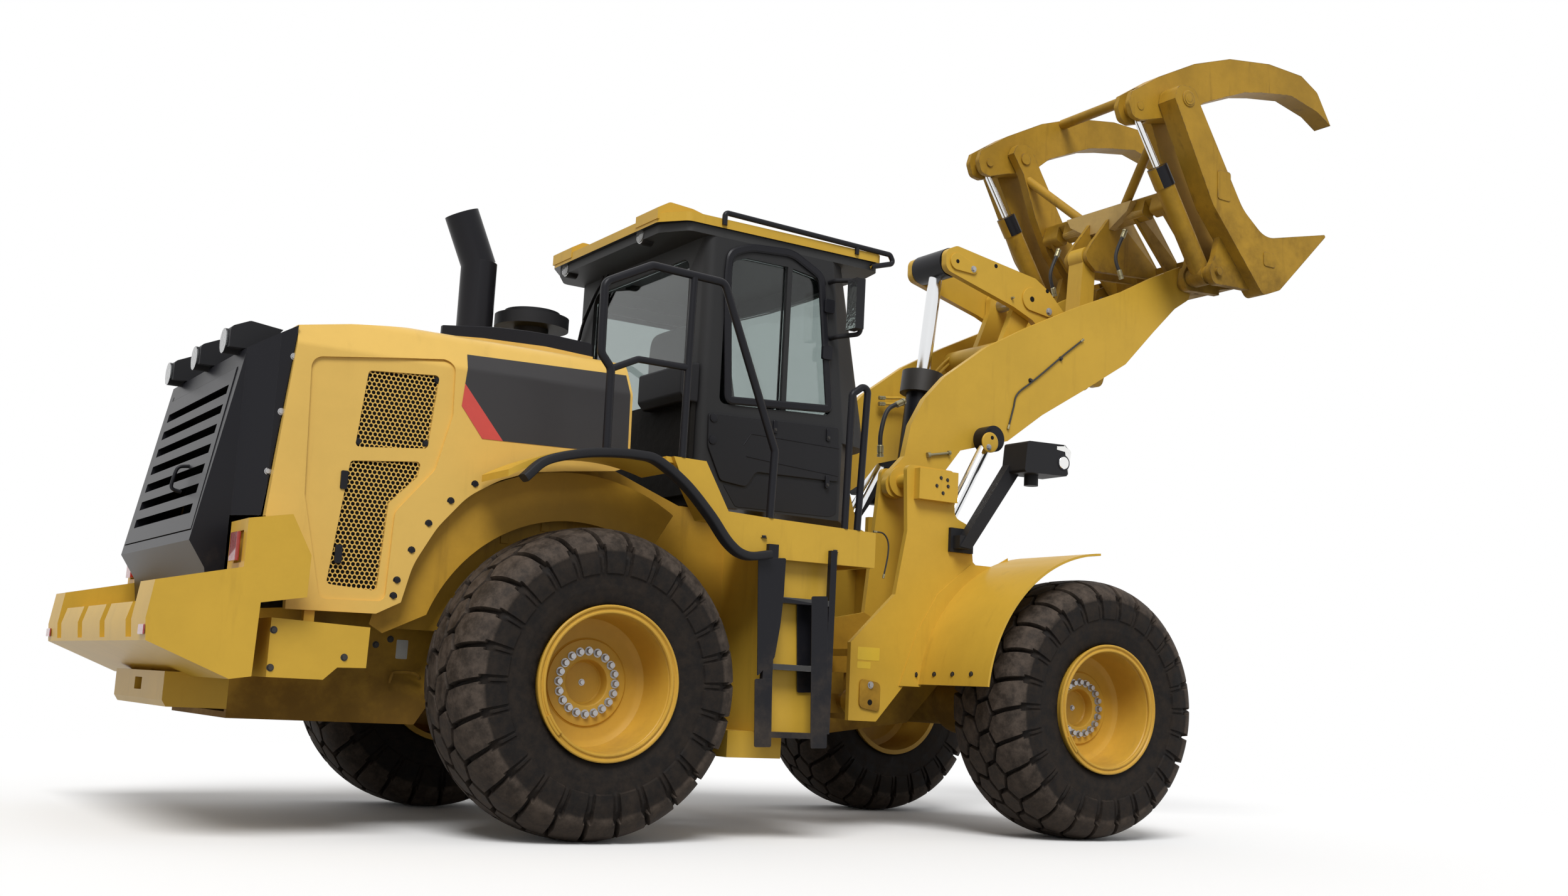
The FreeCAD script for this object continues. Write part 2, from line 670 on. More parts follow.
def rear_opening(grow):
    y = 620 + grow
    return bulkhead([
        (-y, CAB_SILL_Z + 20 - grow, 80), (y, CAB_SILL_Z + 20 - grow, 80),
        (y, CAB_TOP_Z - 90 + grow, 80), (-y, CAB_TOP_Z - 90 + grow, 80)],
        CAB_REAR_X - 50, CAB_REAR_X + CAB_WALL + 50)


def right_openings(grow):
    """The two panes of the right side, divided by an upright bar."""
    window = plate([
        (-830 - grow, 2372 - grow, 40), (-66 + grow, 2405 - grow, 40),
        (-165 + grow, 3205 + grow, 90), (-400, 3240 + grow), (-830 - grow, 3240 + grow, 150)],
        -CAB_Y - 50, -CAB_Y + CAB_WALL + 20)
    bar = block(WINDOW_BAR_X - 16 + grow, WINDOW_BAR_X + 16 - grow, -CAB_Y - 60, -CAB_Y + 100,
                2300, 3300)
    return cut(window, bar)


def doorway(grow):
    return plate([
        (DOOR_HINGE_X - grow, CAB_FLOOR_Z + 60 - grow), (DOOR_FRONT_X + grow, CAB_FLOOR_Z + 60 - grow),
        (DOOR_FRONT_X + grow, CAB_TOP_Z - 90 + grow, 60),
        (DOOR_HINGE_X - grow, CAB_TOP_Z - 90 + grow)], CAB_Y - CAB_WALL - 20, CAB_Y + 20)


def door_pins(radius):
    """Pivot pins at the foot and head of the door's rear edge."""
    pins = []
    for seam in (CAB_FLOOR_Z + 60, CAB_TOP_Z - 90):
        pins.append(post(DOOR_HINGE_X + HINGE_IN, CAB_Y - HINGE_IN, radius,
                         seam - HINGE_PIN_L, seam + HINGE_PIN_L))
    return pins


def cab_shell():
    outside = join(cab_hull(0, CAB_LEDGE_Z), cab_foot(0, CAB_FLOOR_Z, CAB_LEDGE_Z))
    ledge_top = CAB_LEDGE_Z + CAB_WALL
    inside = join(cab_hull(CAB_WALL, ledge_top),
                  cab_foot(CAB_WALL, CAB_FLOOR_Z + CAB_FLOOR_T, ledge_top))
    shell = cut(outside, inside, windscreen_opening(0), rear_opening(0), right_openings(0),
                doorway(SEAM))
    return join(shell, *door_pins(HINGE_PIN_R))


def door_window(grow):
    return plate([
        (DOOR_HINGE_X + 70 - grow, 2100 - grow, 50), (DOOR_FRONT_X - 60 + grow, 2100 - grow, 50),
        (DOOR_FRONT_X - 60 + grow, CAB_TOP_Z - 150 + grow, 50),
        (DOOR_HINGE_X + 70 - grow, CAB_TOP_Z - 150 + grow, 50)], CAB_Y - CAB_WALL - 5, CAB_Y + 5)


def cab_door():
    leaf = doorway(0).common(block(-1000, 0, CAB_Y - CAB_WALL, CAB_Y, CAB_FLOOR_Z, CAB_TOP_Z))
    return cut(leaf, door_window(0), *door_pins(HINGE_PIN_R + PIN_CLEAR))


def door_glass():
    return door_window(-GLASS_GAP).common(
        block(-1000, 0, CAB_Y - GLASS_SET - GLASS_T, CAB_Y - GLASS_SET, CAB_FLOOR_Z, CAB_TOP_Z))


def cab_glass():
    sheet = cut(cab_hull(GLASS_SET, CAB_LEDGE_Z + 20), cab_hull(GLASS_SET + GLASS_T, CAB_LEDGE_Z))
    panes = []
    for opening in (windscreen_opening, rear_opening, right_openings):
        panes += sheet.common(opening(-GLASS_GAP)).Solids
    return Part.makeCompound(panes)


def cab_roof():
    """Roof cap with a low crown, two lobes on its rear edge and a guard rail on each side."""
    low = CAB_TOP_Z + ROOF_LIP
    cap = slab([
        (-1220, -690, 60), (-1100, -ROOF_Y, 60), (240, -ROOF_Y, 60), (290, -640, 100), (290, 640, 100),
        (240, ROOF_Y, 60), (-1100, ROOF_Y, 60), (-1220, 690, 60)], low, ROOF_TOP_Z - ROOF_CROWN_H)
    crown = slab([
        (-1000, -600, 120), (160, -620, 120), (160, 620, 120), (-1000, 600, 120)],
        ROOF_TOP_Z - ROOF_CROWN_H, ROOF_TOP_Z)
    lobe = plate([(-1225, 3400), (-1225, 3465), (-1150, 3510, 40), (-1000, 3500), (-650, 3420)], 430, 700)
    rail_y = ROOF_Y + 4
    rail = tube_path([V(-874, rail_y, 3395), V(-874, rail_y, 3470), V(295, rail_y, 3445),
                      V(325, rail_y, 3395), V(160, rail_y, 3345)], 16, 22)
    stay = rod(V(50, rail_y, 3400), V(50, rail_y, 3452), 14)
    return join(cap, crown, *pair(lobe), *pair(rail), *pair(stay))


def roof_liner():
    return slab([
        (-1190, -660, 60), (-1080, -ROOF_Y + 20, 60), (230, -ROOF_Y + 20, 60), (270, -620, 100),
        (270, 620, 100), (230, ROOF_Y - 20, 60), (-1080, ROOF_Y - 20, 60), (-1190, 660, 60)],
        CAB_TOP_Z, CAB_TOP_Z + ROOF_LIP)


def operator_seat():
    low = CAB_FLOOR_Z + 50
    base = block(-620, -300, -200, 200, low, 2180)
    cushion = block(-680, -180, -250, 250, 2180 + SOFT_GAP, 2300)
    top = 2300 + SOFT_GAP
    back = plate([(-680, top), (-560, top), (-640, 2950), (-740, 2950)], -240, 240)
    return [base, Part.makeCompound([cushion, back])]


def console():
    column = rod(V(10, 0, CAB_FLOOR_Z + 50), V(-80, 0, 2490), 45)
    wheel = Part.makeTorus(190, 16, V(-90, 0, 2530), V(-0.35, 0, 1))
    spoke = rod(V(-90, -185, 2530), V(-90, 185, 2530), 14)
    side = block(-560, -120, -460, -340, 2250, 2420)
    leg = block(-500, -400, -440, -360, CAB_FLOOR_Z + 50, 2250)
    floor = block(-1000, 600, -900, 900, 0, CAB_FLOOR_Z + CAB_FLOOR_T)
    wheel_and_column = join(column, wheel, spoke, rod(V(-80, 0, 2480), V(-92, 0, 2532), 40))
    return cut(Part.makeCompound([wheel_and_column, join(side, leg)]), floor)


# ---- platforms, ladders, fenders and rails ------------------------------------------------
PLATFORM_Y = 1300.0
DECK_Z = 1690.0
DECK_T = 30.0


def platform():
    side = plate([
        (-1352, 1962), (-1157, 1959), (-1006, 1710), (-759, 1701), (-45, 1687), (-45, 1491),
        (-646, 1486), (-930, 1500), (-1080, 1640), (-1290, 1838)], PLATFORM_Y - 30, PLATFORM_Y)
    deck = block(-700, -45, CAB_Y + 12, PLATFORM_Y - 30, DECK_Z - DECK_T, DECK_Z)
    step = plate([(-1352, 1962), (-1157, 1959), (-1006, 1710), (-700, 1690), (-700, 1660),
                  (-1020, 1680), (-1175, 1930), (-1352, 1932)], 965, PLATFORM_Y - 30)
    front = block(-65, -45, CAB_Y + 12, PLATFORM_Y - 30, 1491, DECK_Z - DECK_T)
    rear_deck = block(-1380, -1352, 965, PLATFORM_Y - 30, 1932, 1962)
    return join(side, deck, step, front, rear_deck)


def rear_fender():
    """Arched fender shell over the rear wheel."""
    radius = TYRE_R + 330
    ring = cross_bar((REAR_X, AXLE_Z + 60), radius, 965, PLATFORM_Y).cut(
        cross_bar((REAR_X, AXLE_Z + 60), radius - 30, 960, PLATFORM_Y + 5))
    window = plate([(-2260, 1690), (-1353 - SEAM, 1500), (-1353 - SEAM, 2100), (-2260, 2100)],
                   960, PLATFORM_Y + 10)
    return ring.common(window)


def fender_trim():
    outer = [(-2212, 1764, 60), (-2103, 1863), (-1922, 1923), (-1750, 1951), (-1580, 1959),
             (-1463, 1942), (-1290, 1838), (-1131, 1692), (-1008, 1556), (-908, 1506, 60),
             (-770, 1524)]
    thick = 50
    inner = [(x, z - thick) for x, z, *_ in reversed(outer)]
    return plate([(p[0], p[1]) for p in outer] + inner, PLATFORM_Y, PLATFORM_Y + 80)


def ladder():
    left = block(-760, -700, PLATFORM_Y, PLATFORM_Y + 30, 541, 1560)
    right = block(-360, -320, PLATFORM_Y, PLATFORM_Y + 30, 573, 1560)
    rungs = [block(-700, -360, PLATFORM_Y - 60, PLATFORM_Y + 30, z - 15, z + 15)
             for z in (560, 915, 1270)]
    return join(left, right, *rungs)


def side_tank():
    body = block(-690, -300, 700, PLATFORM_Y - 70, 570, DECK_Z - DECK_T)
    foot = block(-849, -510, 700, 1150, 430, 570)
    tie = block(-600, -400, RAIL_Y, 700, 800, 1100)
    return join(body, foot, tie)


def battery_box():
    box = plate([
        (-3290, 1000), (-2828, 984), (-2832, 795), (-2968, 791), (-3030, 732), (-3290, 732)],
        RAIL_Y, 1150)
    rest = block(-3080, -3030, 890, 930, 980, 1052)
    return join(box, rest)


def handrails():
    y = PLATFORM_Y - 14
    loop = tube_path([V(-1735, y, 1950.5), V(-1740, y, 2370), V(-1801, y, 2440), V(-1806, y, 2810),
                      V(-1540, y, 2948), V(-1100, y, 2935), V(-728, y, 2065), V(-740, y, 1702)], 22, 50)
    upright = rod(V(-1287, y, 2940), V(-1295, y, 1963), 20)
    middle = tube_path([V(-1745, y, 2365), V(-1590, y, 2440), V(-1290, y, 2440)], 18, 40)
    short = tube_path([V(-250, y, 1690.8), V(-238, y, 2450), V(-130, y, 2530), V(-165, y, 1690.3)],
                      20, 30)
    return Part.makeCompound([join(loop, upright, middle), short])


def mirrors():
    foot = -CAB_Y
    arm = tube_path([V(-95, foot, 2865), V(-95, foot - 60, 2865), V(0, -1000, 2880),
                     V(-20, -1000, 3200), V(-120, foot - 60, 3200), V(-120, foot, 3200)], 14, 30)
    head = block(-95, -35, -1080, -985, 2890, 3190)
    return join(arm, head)


# ---- front frame --------------------------------------------------------------------------
def tower_outer():
    return plate([
        (598, 2211, 40), (975, 2206, 40), (984, 1918, 60), (1114, 1871, 40), (1141, 1652),
        (1165, 1634), (914, 1434), (765, 1190), (649, 876), (441, 642), (240, 643),
        (236, 1100), (548, 1406), (620, 1801)], TOWER_OUT_Y, TOWER_OUT_Y + TOWER_OUT_T)


def tower_inner():
    return plate([
        (631, 2217, 40), (900, 2217, 60), (1000, 1918, 60), (1130, 1871, 40), (1180, 1500),
        (1900, 1300), (2050, 1150), (2050, 1000), (1250, 1000), (900, 640), (324, 560),
        (200, 560), (200, 1230), (540, 1300)], TOWER_IN_Y, TOWER_IN_Y + TOWER_IN_T)


def front_frame():
    parts = pair(tower_outer()) + pair(tower_inner())
    for z in (HITCH_LOW_Z, HITCH_TOP_Z):
        parts.append(hitch_ear(240, z, z + HITCH_T))
    parts.append(block(200, 240, -TOWER_IN_Y, TOWER_IN_Y, 560, STEER_Z - 60))
    parts.append(block(200, 240, -TOWER_IN_Y, TOWER_IN_Y, STEER_Z + 60, 1230))
    for z_low, z_high in ((560, 590), (930, 970)):
        for sign in (1, -1):
            low, high = sorted((sign * TOWER_IN_Y, sign * TOWER_OUT_Y))
            parts.append(block(244, 290, low, high, z_low + 90, z_high + 90))
    for sign in (1, -1):
        low, high = sorted((sign * (TOWER_IN_Y + TOWER_IN_T), sign * TOWER_OUT_Y))
        parts.append(cross_bar(PIN_A, MAIN_PIN_R, low, high))
        parts.append(cross_bar(PIN_D, MAIN_PIN_R, low, high))
    parts.append(block(1000, 1040, -TOWER_IN_Y, TOWER_IN_Y, 1300, 1800))
    parts.append(block(1100, 1780, -TOWER_IN_Y, TOWER_IN_Y, 1000, 1040))
    parts += pair(plate([
        (900, 1700), (1040, 1700), (PIN_C[0] + 60, PIN_C[1] - 60, 50),
        (PIN_C[0] + 60, PIN_C[1] + 60, 50), (900, PIN_C[1] + 40)], TILT_EAR_Y, TILT_EAR_Y + 35))
    parts.append(block(900, 990, -TOWER_IN_Y, TOWER_IN_Y, 1740, 1820))
    parts.append(cross_bar(PIN_C, 30, -TILT_EAR_Y, TILT_EAR_Y))
    for sign in (1, -1):
        low, high = sorted((sign * TOWER_IN_Y, sign * (TOWER_IN_Y + TOWER_IN_T)))
        parts.append(block(FRONT_X - 170, FRONT_X + 170, low, high, AXLE_Z, 1010))
    for z in (STEER_Z - 95, STEER_Z + 65):
        parts += pair(slab([
            (200, STEER_FRONT[1] - 60), (STEER_FRONT[0] + 20, STEER_FRONT[1] - 60, 50),
            (STEER_FRONT[0] + 80, TOWER_IN_Y), (200, TOWER_IN_Y)], z, z + 30))
    side_box = block(660, 960, TOWER_OUT_Y + TOWER_OUT_T - 5, TOWER_OUT_Y + TOWER_OUT_T + 55, 2000, 2190)
    parts += pair(side_box)
    frame = join(*parts)
    for sign in (1, -1):
        low, high = sorted((sign * 300, sign * 420))
        frame = cut(frame, block(150, 430, low, high, STEER_Z - 65, STEER_Z + 65))
    return cut(frame, cross_bar((FRONT_X, AXLE_Z), AXLE_R, -1000, 1000),
               Part.makeSphere(AXLE_BOX / 2 + 1, V(FRONT_X, 0, AXLE_Z)))


def front_fender():
    centre = (FRONT_X, AXLE_Z)
    outer = TYRE_R + 155
    shell = cut(cross_bar(centre, outer, TOWER_OUT_Y + TOWER_OUT_T, 1360),
                cross_bar(centre, outer - 14, TOWER_OUT_Y, 1400))
    sector = plate([
        centre, (FRONT_X - 1300, AXLE_Z + 130), (FRONT_X - 1300, AXLE_Z + 1300),
        (FRONT_X - 100, AXLE_Z + 1300)], 600, 1400)
    web = cut(plate([
        (1300, 1634), (1120, 1634), (870, 1434), (720, 1190), (600, 860), (760, 860), (790, 1000),
        (880, 1200), (1060, 1420), (1240, 1560), (1420, 1660), (1420, 1700)],
        TOWER_OUT_Y + TOWER_OUT_T, TOWER_OUT_Y + TOWER_OUT_T + 8))
    return join(shell.common(sector), web)


def headlamp_posts():
    y = TOWER_OUT_Y + TOWER_OUT_T
    base = block(940, 1120, y, y + 25, 1700, 1850)
    foot = block(960, 1050, y, y + 90, 1720, 1800)
    bar = plate([(960, 1730), (1050, 1720), (1420, 2235), (1340, 2290)], y + 26, y + 96)
    lamp = plate([(1330, 2225, 20), (1690, 2235, 20), (1715, 2400, 20), (1660, 2435, 20),
                  (1350, 2425, 20)], y + 26, y + 250)
    small = rod(V(1480, y + 140, 2235), V(1480, y + 140, 2160), 45)
    return join(base, foot, bar, lamp, small)


# ---- loader arms and Z-bar linkage --------------------------------------------------------
def arm_plate():
    return plate([
        (600, 2120, 60), (620, 2040, 60), (713, 2022, 60), (800, 2060, 60), (1070, 2240),
        (1190, 2388), (1584, 2500), (1879, 2714), (2250, 2937), (2639, 3180), (2906, 3456),
        (3112, 3659), (3250, 3750, 60), (3290, 3850, 60), (3240, 3960, 60), (3160, 3980),
        (2894, 3853), (2623, 3707), (2166, 3505), (1733, 3293), (1380, 3100), (1044, 2854),
        (887, 2685), (785, 2505), (742, 2297), (648, 2200)], ARM_Y, ARM_Y + ARM_T)


TORQUE_TUBE = (1819.0, 3186.0)
TORQUE_TUBE_R = 85.0


def lift_arms():
    tube = cross_bar(TORQUE_TUBE, TORQUE_TUBE_R, -ARM_Y, ARM_Y)
    ear_out = LEVER_Y - SIDE_GAP
    ears = []
    for y in (ear_out - 50, -ear_out):
        ears.append(plate([
            (TORQUE_TUBE[0] - 70, TORQUE_TUBE[1]), (TORQUE_TUBE[0] + 70, TORQUE_TUBE[1]),
            (PIN_P[0] + 95, PIN_P[1] - 40, 60), (PIN_P[0] + 70, PIN_P[1] + 95, 60),
            (PIN_P[0] - 95, PIN_P[1] + 80, 60), (PIN_P[0] - 95, PIN_P[1] - 60)], y, y + 50))
    bosses = pair(cross_bar(PIN_A, 95, TOWER_IN_Y + TOWER_IN_T + 5, ARM_Y + ARM_T + 20))
    arms = join(*pair(arm_plate()), tube, *ears, *bosses)
    for sign in (1, -1):
        low, high = sorted((sign * 300, sign * 900))
        arms = cut(arms, cross_bar(PIN_A, MAIN_PIN_R + PIN_CLEAR, low, high),
                   cross_bar(PIN_B, MAIN_PIN_R + PIN_CLEAR, low, high))
    return cut(arms, cross_bar(PIN_P, MAIN_PIN_R + PIN_CLEAR, -400, 400))


def fork_pins():
    half = ARM_Y + ARM_T + 5
    return Part.makeCompound(pair(cross_bar(PIN_B, MAIN_PIN_R, ARM_Y - 75, half)))


def lever_pin():
    return cross_bar(PIN_P, MAIN_PIN_R, -(LEVER_Y + LEVER_T), LEVER_Y + LEVER_T)


def tilt_lever():
    side = plate([
        (PIN_T[0] - 90, PIN_T[1] + 60, 60), (PIN_T[0], PIN_T[1] + 105, 60),
        (PIN_P[0] + 40, PIN_P[1] + 150), (PIN_P[0] + 170, PIN_P[1] + 80),
        (PIN_L[0] + 100, PIN_L[1] + 40, 70), (PIN_L[0] + 60, PIN_L[1] - 100, 70),
        (PIN_L[0] - 90, PIN_L[1] - 50, 70), (PIN_P[0] + 20, PIN_P[1] - 150),
        (PIN_P[0] - 150, PIN_P[1] - 85), (PIN_T[0] - 90, PIN_T[1] - 75, 60)],
        LEVER_Y, LEVER_Y + LEVER_T)
    lever = cut(side, cross_bar(PIN_P, MAIN_PIN_R + PIN_CLEAR, 0, 400))
    bar = cross_bar(PIN_L, MAIN_PIN_R, -LEVER_Y, LEVER_Y)
    return join(*pair(lever), bar)


def tilt_link():
    a = PIN_L
    b = PIN_F
    body = plate([(a[0] - 70, a[1]), (a[0] + 70, a[1]), (b[0] + 60, b[1]), (b[0] - 60, b[1])],
                 -LINK_T / 2, LINK_T / 2)
    link = join(body, cross_bar(a, 90, -LINK_T / 2, LINK_T / 2),
                cross_bar(b, 80, -LINK_T / 2, LINK_T / 2))
    return cut(link, cross_bar(a, MAIN_PIN_R + PIN_CLEAR, -100, 100))


# ---- cylinders ----------------------------------------------------------------------------
def barrel(base, tip, y, radius, gland_step, reach, base_width):
    """Cylinder tube from its base pin, with a wider gland at the open end."""
    end = toward(base, tip, reach)
    gland = toward(base, tip, reach - 150)
    tube = rod(at(base, y), at(end, y), radius)
    head = rod(at(gland, y), at(end, y), radius + gland_step)
    eye = cross_bar(base, radius + 6, y - base_width / 2, y + base_width / 2)
    bore = rod(at(toward(base, tip, radius + 60), y), at(toward(base, tip, reach + 10), y),
               radius - TUBE_WALL)
    return join(cut(join(tube, head), bore), eye)


def piston_rod(base, tip, y, radius, barrel_radius, start, eye_radius, eye_width):
    """Chromed rod from the piston inside the tube to the eye at its tip."""
    inside = toward(base, tip, start)
    stem = rod(at(inside, y), at(tip, y), radius)
    head = rod(at(inside, y), at(toward(base, tip, start + PISTON_L), y),
               barrel_radius - TUBE_WALL - SLIDE_GAP)
    eye = cross_bar(tip, eye_radius, y - eye_width / 2, y + eye_width / 2)
    return join(stem, head, eye)


LIFT_REACH = 1120.0
LIFT_EYE_W = 110.0


def lift_barrels():
    tube = barrel(PIN_D, PIN_U, LIFT_Y, LIFT_BARREL_R, LIFT_GLAND, LIFT_REACH, 140)
    tube = cut(tube, cross_bar(PIN_D, MAIN_PIN_R + PIN_CLEAR, 300, 900))
    return Part.makeCompound(pair(tube))


def lift_rods():
    stem = piston_rod(PIN_D, PIN_U, LIFT_Y, LIFT_ROD_R, LIFT_BARREL_R, LIFT_REACH - 200, 85, LIFT_EYE_W)
    stem = join(stem, cross_bar(PIN_U, 62, LIFT_Y, LIFT_Y + LIFT_EYE_W / 2 + 12))
    return Part.makeCompound(pair(stem))


TILT_REACH = 1050.0


def tilt_barrel():
    tube = barrel(PIN_C, PIN_T, 0, TILT_BARREL_R, TILT_GLAND, TILT_REACH, 2 * TILT_EAR_Y - 20)
    return cut(tube, cross_bar(PIN_C, 60 + PIN_CLEAR, -200, 200))


def tilt_cylinder_pin():
    sleeve = cross_bar(PIN_C, 60, -TILT_EAR_Y + 5, TILT_EAR_Y - 5)
    return cut(sleeve, cross_bar(PIN_C, 30 + PIN_CLEAR, -200, 200))


def tilt_rod():
    return piston_rod(PIN_C, PIN_T, 0, TILT_ROD_R, TILT_BARREL_R, TILT_REACH - 200, 100, 2 * LEVER_Y - 20)


CLAMP_REACH = 828.0
CLAMP_CYL_Y = CLAMP_IN_Y + CLAMP_W / 2


def clamp_barrels():
    width = TINE_IN_Y + 16 - POST_IN_Y - CYL_LUG_T - 2 * LUG_GAP
    centre = (TINE_IN_Y + 16 + POST_IN_Y + CYL_LUG_T) / 2
    tube = barrel(PIN_N, PIN_M, CLAMP_CYL_Y, CLAMP_BARREL_R, CLAMP_GLAND, CLAMP_REACH, 120)
    tube = join(tube, cross_bar(PIN_N, 62, centre - width / 2, centre + width / 2))
    tube = cut(tube, cross_bar(PIN_N, CYL_PIN_R + PIN_CLEAR, 300, 1200))
    return Part.makeCompound(pair(tube))


def clamp_rods():
    stem = piston_rod(PIN_N, PIN_M, CLAMP_CYL_Y, CLAMP_ROD_R, CLAMP_BARREL_R, CLAMP_REACH - 330, 52,
                      CLAMP_SLOT - 4)
    return Part.makeCompound(pair(stem))


def steer_barrel(sign):
    base = V(STEER_REAR[0], sign * STEER_REAR[1], STEER_Z)
    tip = V(STEER_FRONT[0], sign * STEER_FRONT[1], STEER_Z)
    along = V(tip.sub(base)).normalize()
    end = base.add(V(along).multiply(700))
    eye = post(base.x, base.y, 50, STEER_Z - 50, STEER_Z + 50)
    tube = cut(rod(base, end, STEER_BARREL_R),
               rod(base.add(V(along).multiply(120)), end.add(along), STEER_BARREL_R - TUBE_WALL))
    return cut(join(tube, eye), post(base.x, base.y, 25 + PIN_CLEAR, 0, 2000))


def steer_rod(sign):
    base = V(STEER_REAR[0], sign * STEER_REAR[1], STEER_Z)
    tip = V(STEER_FRONT[0], sign * STEER_FRONT[1], STEER_Z)
    along = V(tip.sub(base)).normalize()
    inside = base.add(V(along).multiply(460))
    stem = rod(inside, tip, STEER_ROD_R)
    head = rod(inside, V(inside).add(V(along).multiply(PISTON_L)),
               STEER_BARREL_R - TUBE_WALL - SLIDE_GAP)
    return join(stem, head, post(tip.x, tip.y, 45, STEER_Z - 40, STEER_Z + 40))


def steer_pins():
    pins = [post(STEER_REAR[0], s * STEER_REAR[1], 25, STEER_Z - 60, STEER_Z + 60) for s in (1, -1)]
    return Part.makeCompound(pins)


# ---- logging fork -------------------------------------------------------------------------
def tine():
    """Box-section tine: upright leg and pointed toe in one piece."""
    return plate([
        (2510, 4941), (2536, 5050, 70), (2700, 5060, 70), (2765, 4936), (3190, 4290, 350),
        (3420, 4125, 200), (4085, 4285, 12), (3572, 3776, 60), (3402, 3709, 60),
        (2890, 4265, 300)], TINE_IN_Y, TINE_OUT_Y)


def inner_post():
    """Post inboard of each clamp arm, from the clamp pin down to the low beam."""
    return plate([
        (2519, 4990), (2560, 5080, 70), (2690, 5080, 60), (2811, 4885), (3045, 4528),
        (3200, 4300), (3330, 4190), (3400, 4030), (3480, 3830), (3340, 3800),
        (2900, 4255, 200), (2754, 4526), (2626, 4841)], POST_IN_Y, POST_IN_Y + POST_T)


def cylinder_lugs():
    """Lug pair that carries the foot of one clamp cylinder."""
    lugs = []
    for y, root in ((POST_IN_Y, 3330), (TINE_IN_Y + 16, 3400)):
        lugs.append(plate([
            (PIN_N[0] - 80, PIN_N[1] + 10, 60), (PIN_N[0] - 40, PIN_N[1] - 95, 60),
            (PIN_N[0] + 60, PIN_N[1] - 85, 60), (root, 3760), (root, 3980), (3060, 4110),
            (PIN_N[0] - 30, PIN_N[1] + 95, 60)], y, y + CYL_LUG_T))
    return lugs


def cross_beams():
    """Beams between the posts, their ribs, the centre plate and the braces above it."""
    wide = POST_IN_Y
    low = plate([(3330, 3830), (3480, 3830), (3400, 4060), (3280, 4060)], -TINE_IN_Y, TINE_IN_Y)
    mid = plate([
        (2830, 4330, 30), (2930, 4290, 30), (2980, 4440, 30), (2870, 4480, 30)], -wide, wide)
    ribs = []
    for y in (-600, -330, 300, 570):
        ribs.append(plate([(3330, 3830), (3480, 3830), (2975, 4440), (2850, 4330), (3120, 4050)],
                          y, y + 30))
    centre = bulkhead([
        (-340, 4440), (-300, 4370), (-120, 4270), (120, 4270), (300, 4370), (340, 4440)],
        2800, 2860)
    braces = []
    for sign in (1, -1):
        braces.append(rod(V(2690, sign * (wide + 20), 4810), V(2850, sign * 210, 4410), 34))
    over_arm = plate([(3125, 4155), (2905, 4377), (2560, 4780), (2400, 4600), (2800, 4000)],
                     ARM_Y - SIDE_GAP, ARM_Y + ARM_T + SIDE_GAP)
    return [low, cut(mid, *pair(over_arm)), centre] + ribs + braces


def fork_frame():
    ears = []
    for y in (ARM_Y - 75, ARM_Y + ARM_T + SIDE_GAP):
        ears.append(plate([
            (PIN_B[0] - 80, PIN_B[1] - 60, 50), (PIN_B[0] + 60, PIN_B[1] - 80, 50), (3340, 3835),
            (3330, 4050), (PIN_B[0] - 60, PIN_B[1] + 90, 50)], y, y + 40))
    link_ears = []
    for y in (LINK_T / 2 + SIDE_GAP, -LINK_T / 2 - SIDE_GAP - LINK_EAR_T):
        link_ears.append(plate([
            (PIN_F[0] - 95, PIN_F[1] - 20, 60), (PIN_F[0] + 20, PIN_F[1] - 110, 60), (3330, 3980),
            (3300, 4060), (2975, 4440), (2840, 4400), (PIN_F[0] - 10, PIN_F[1] + 110, 60)],
            y, y + LINK_EAR_T))
    pin = cross_bar(PIN_N, CYL_PIN_R, POST_IN_Y - 10, TINE_IN_Y + 90)
    clamp_pin = cross_bar(PIN_K, CLAMP_PIN_R, POST_IN_Y - 12, TINE_OUT_Y + 12)
    sides = []
    for shape in ears + cylinder_lugs() + [pin, clamp_pin, tine(), inner_post()]:
        sides += pair(shape)
    body = join(*cross_beams(), *link_ears, *sides)
    for sign in (1, -1):
        low, high = sorted((sign * 300, sign * 600))
        body = cut(body, cross_bar(PIN_B, MAIN_PIN_R + PIN_CLEAR, low, high))
        low, high = sorted((sign * (ARM_Y - SIDE_GAP), sign * (ARM_Y + ARM_T + SIDE_GAP)))
        body = cut(body, cross_bar(PIN_B, NOSE_SWEEP_R, low, high))
    return body


def clamp_arm():
    """Curved box-section arm, slotted at its rear end for the cylinder's eye."""
    side = plate([
        (2237, 4894, 50), (2262, 4975), (2519, 5146), (2864, 5328), (3225, 5459), (3640, 5528),
        (3993, 5527), (4170, 5440, 60), (4320, 5215), (4170, 5290), (3880, 5345), (3566, 5290),
        (3377, 5244), (3157, 5150), (2956, 5060), (2760, 4900, 60), (2540, 4850, 60),
        (2356, 4789, 50), (2273, 4801, 50)], CLAMP_IN_Y, CLAMP_IN_Y + CLAMP_W)
    mid = CLAMP_IN_Y + CLAMP_W / 2
    slot = block(2150, 2450, mid - CLAMP_SLOT / 2, mid + CLAMP_SLOT / 2, 4700, 5050)
    return cut(side, slot, cross_bar(PIN_K, CLAMP_PIN_R + PIN_CLEAR, 0, 1000))


def top_clamp():
    tube = cross_bar(CLAMP_TUBE, CLAMP_TUBE_R, -CLAMP_IN_Y, CLAMP_IN_Y)
    pins = cross_bar(PIN_M, CYL_PIN_R, CLAMP_IN_Y - 10, CLAMP_IN_Y + CLAMP_W + 4)
    eye_gap = cross_bar(PIN_M, CYL_PIN_R + 60, CLAMP_CYL_Y - CLAMP_SLOT / 2, CLAMP_CYL_Y + CLAMP_SLOT / 2)
    return join(*pair(join(clamp_arm(), cut(pins, eye_gap))), tube)


